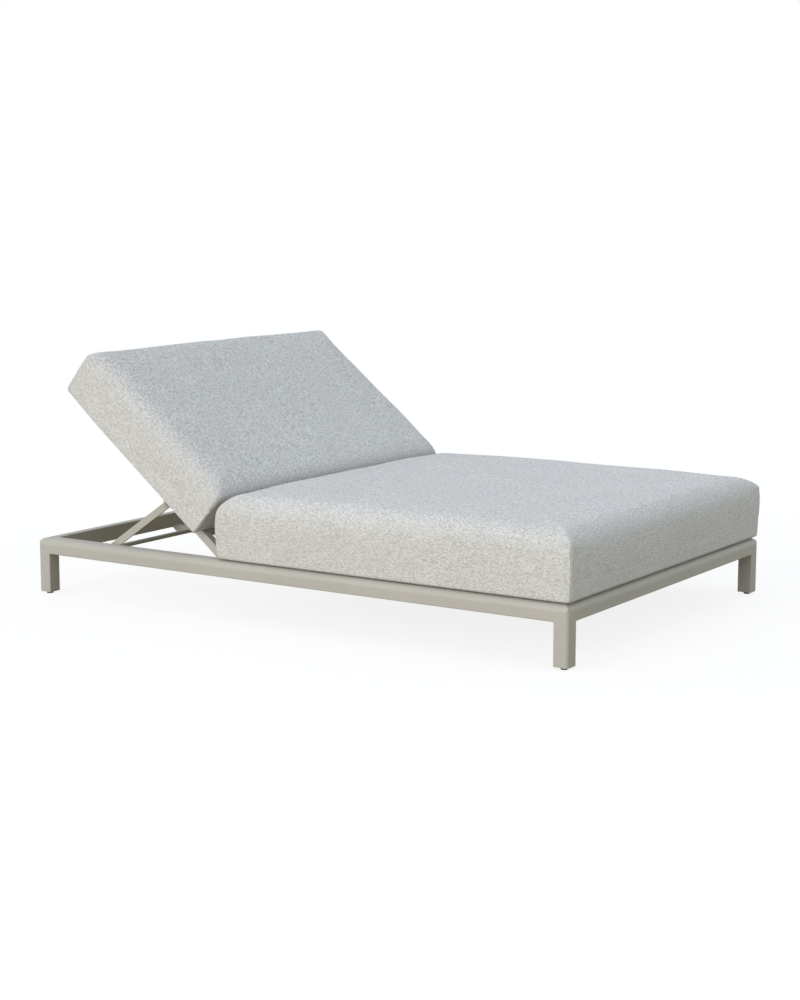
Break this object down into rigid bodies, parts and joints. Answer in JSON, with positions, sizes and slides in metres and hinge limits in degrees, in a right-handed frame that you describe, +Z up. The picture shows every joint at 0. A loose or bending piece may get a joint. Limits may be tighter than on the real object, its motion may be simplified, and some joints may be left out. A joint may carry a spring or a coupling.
{
  "type": "double chaise lounger",
  "caption": "Double chaise lounger for the patio: low powder-coated frame on block legs, thick seat cushion and a reclining cushioned back on a folding prop",
  "frame": {"origin": "on the ground, under the middle of the frame", "axes": "X runs from the head end to the foot end, Y to the left of someone lying on it, Z up"},
  "size_m": [2.1, 1.38, 0.8642],
  "materials": {
    "frame_paint": "satin",
    "cushion_fabric": "matte",
    "black_nylon": "matte",
    "black_rubber": "matte",
    "stainless": "satin"
  },
  "bodies": {
    "frame": {"side_rail_left": "frame_paint", "side_rail_right": "frame_paint", "head_rail": "frame_paint", "foot_rail": "frame_paint", "leg_head_left": "frame_paint", "leg_head_right": "frame_paint", "leg_foot_left": "frame_paint", "leg_foot_right": "frame_paint", "leg_end_plates": "frame_paint", "leg_glides": "black_nylon", "centre_beam": "frame_paint", "seat_bearer": "frame_paint", "hinge_rail": "frame_paint", "seat_slats": "frame_paint", "slat_ledge_left": "frame_paint", "slat_ledge_right": "frame_paint", "prop_rack_left": "frame_paint", "prop_rack_right": "frame_paint", "back_stop_left": "frame_paint", "back_stop_right": "frame_paint", "stop_pads": "black_rubber", "pivot_bolts": "stainless", "rivet_nuts": "stainless", "seat_cushion": "cushion_fabric"},
    "back_frame": {"back_side_tube_left": "frame_paint", "back_side_tube_right": "frame_paint", "back_top_tube": "frame_paint", "back_slats": "frame_paint", "back_spine": "frame_paint", "back_end_caps": "black_nylon", "back_bushes": "black_nylon", "prop_lug_left": "frame_paint", "prop_lug_right": "frame_paint", "prop_bolts": "stainless", "prop_nuts": "stainless"},
    "prop_bail": {"prop_arm_left": "frame_paint", "prop_arm_right": "frame_paint", "prop_cross_bar": "frame_paint", "prop_bushes": "black_nylon", "cross_bar_caps": "black_nylon"},
    "back_cushion": {"back_cushion": "cushion_fabric"}
  },
  "joints": [
    {"name": "back_recline", "type": "hinge", "parent": "frame", "child": "back_frame", "pos_m": [-0.267, 0, 0.186], "axis": [0, 1, 0], "range_deg": [-38.8, 0]},
    {"name": "prop_fold", "type": "hinge", "parent": "back_frame", "child": "prop_bail", "pos_m": [-0.51772, 0, 0.35294], "axis": [0, 1, 0], "range_deg": [0, 73.1]},
    {"name": "cushion_slip", "type": "slide", "parent": "back_frame", "child": "back_cushion", "axis": [-0.7793, 0, 0.6266], "range_m": [-0.113, 0]}
  ],
  "couplings": [
    {"joint": "prop_fold", "follows": "back_recline", "ratio": -1.884},
    {"joint": "cushion_slip", "follows": "back_recline", "m_per_rad": 0.1668}
  ]
}
